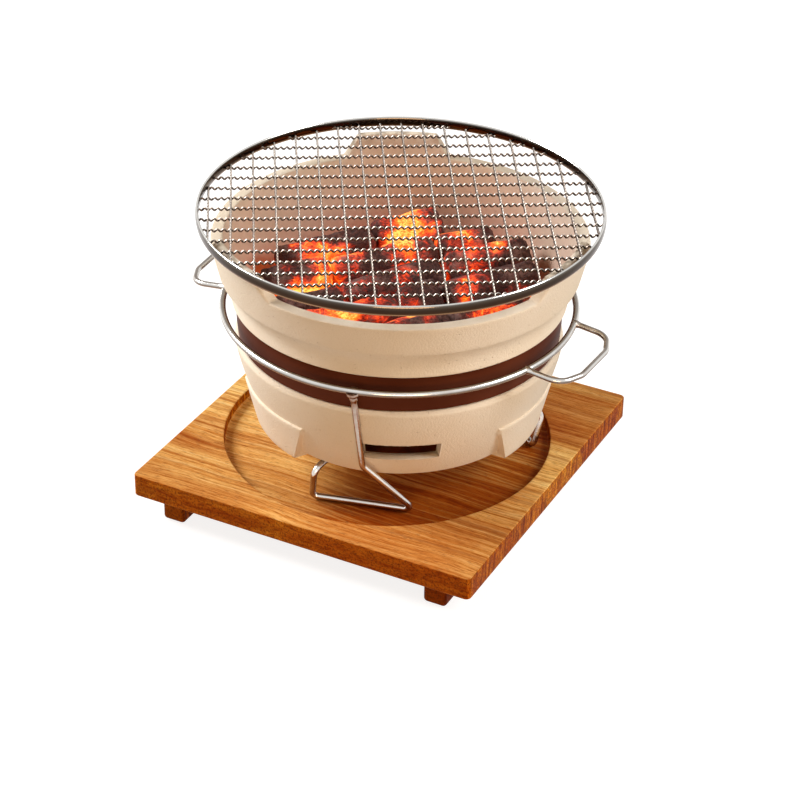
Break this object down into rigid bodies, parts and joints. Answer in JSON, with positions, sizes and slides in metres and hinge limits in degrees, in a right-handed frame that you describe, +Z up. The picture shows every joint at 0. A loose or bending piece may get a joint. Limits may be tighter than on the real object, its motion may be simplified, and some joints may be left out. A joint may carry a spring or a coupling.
{
  "type": "charcoal brazier",
  "caption": "Round stoneware charcoal brazier in a bent-wire stand with two loop handles, with a woven wire grill on its rim, on a square wooden board with a round recess.",
  "frame": {"origin": "on the hearth's upright axis, at the level of the undersides of the board's runners", "axes": "+X along the right handle and the board's front edge, +Y to the back, +Z up; the air slot looks to the front and right, 61.5 degrees from +X"},
  "size_m": [0.3274, 0.299, 0.2313],
  "materials": {
    "board_wood": "oiled board with long grain",
    "runner_wood": "oiled",
    "screw_steel": "plain",
    "stand_steel": "polished wire",
    "cream_stoneware": "matt, fine grained",
    "brown_glaze": "smooth, low sheen",
    "grate_clay": "matt, scorched",
    "charcoal": "burning charcoal: matt, cracked, glowing in its cracks",
    "rim_steel": "polished",
    "mesh_steel": "drawn wire"
  },
  "bodies": {
    "tray": {"tray_board": "board_wood", "tray_runner_left": "runner_wood", "tray_runner_right": "runner_wood", "runner_screws": "screw_steel"},
    "stand": {"stand_ring": "stand_steel", "stand_leg_front": "stand_steel", "stand_leg_right": "stand_steel", "stand_leg_left": "stand_steel", "stand_hub_weld": "stand_steel", "stand_handle_right": "stand_steel", "stand_handle_left": "stand_steel"},
    "hearth": {"hearth_base": "cream_stoneware", "hearth_wall": "cream_stoneware", "hearth_collar": "cream_stoneware", "hearth_lugs": "cream_stoneware", "waist_band": "brown_glaze"},
    "fire": {"fire_grate": "grate_clay", "charcoal_1": "charcoal", "charcoal_2": "charcoal", "charcoal_3": "charcoal", "charcoal_4": "charcoal", "charcoal_5": "charcoal", "charcoal_6": "charcoal", "charcoal_7": "charcoal", "charcoal_8": "charcoal", "charcoal_9": "charcoal", "charcoal_10": "charcoal", "charcoal_11": "charcoal", "charcoal_12": "charcoal", "charcoal_13": "charcoal", "charcoal_14": "charcoal", "charcoal_15": "charcoal", "charcoal_16": "charcoal", "charcoal_17": "charcoal", "charcoal_18": "charcoal", "charcoal_19": "charcoal", "charcoal_20": "charcoal", "charcoal_21": "charcoal"},
    "grill": {"grill_rim": "rim_steel", "grill_wires_across": "mesh_steel", "grill_wires_along": "mesh_steel"}
  },
  "joints": [
    {"name": "stand_lift", "type": "slide", "parent": "tray", "child": "stand", "axis": [0, 0, 1], "range_m": [0, 0.06]},
    {"name": "hearth_lift", "type": "slide", "parent": "stand", "child": "hearth", "axis": [0, 0, 1], "range_m": [0, 0.11]},
    {"name": "grate_lift", "type": "slide", "parent": "hearth", "child": "fire", "axis": [0, 0, 1], "range_m": [0, 0.13]},
    {"name": "grill_lift", "type": "slide", "parent": "fire", "child": "grill", "axis": [0, 0, 1], "range_m": [0, 0.08]}
  ]
}
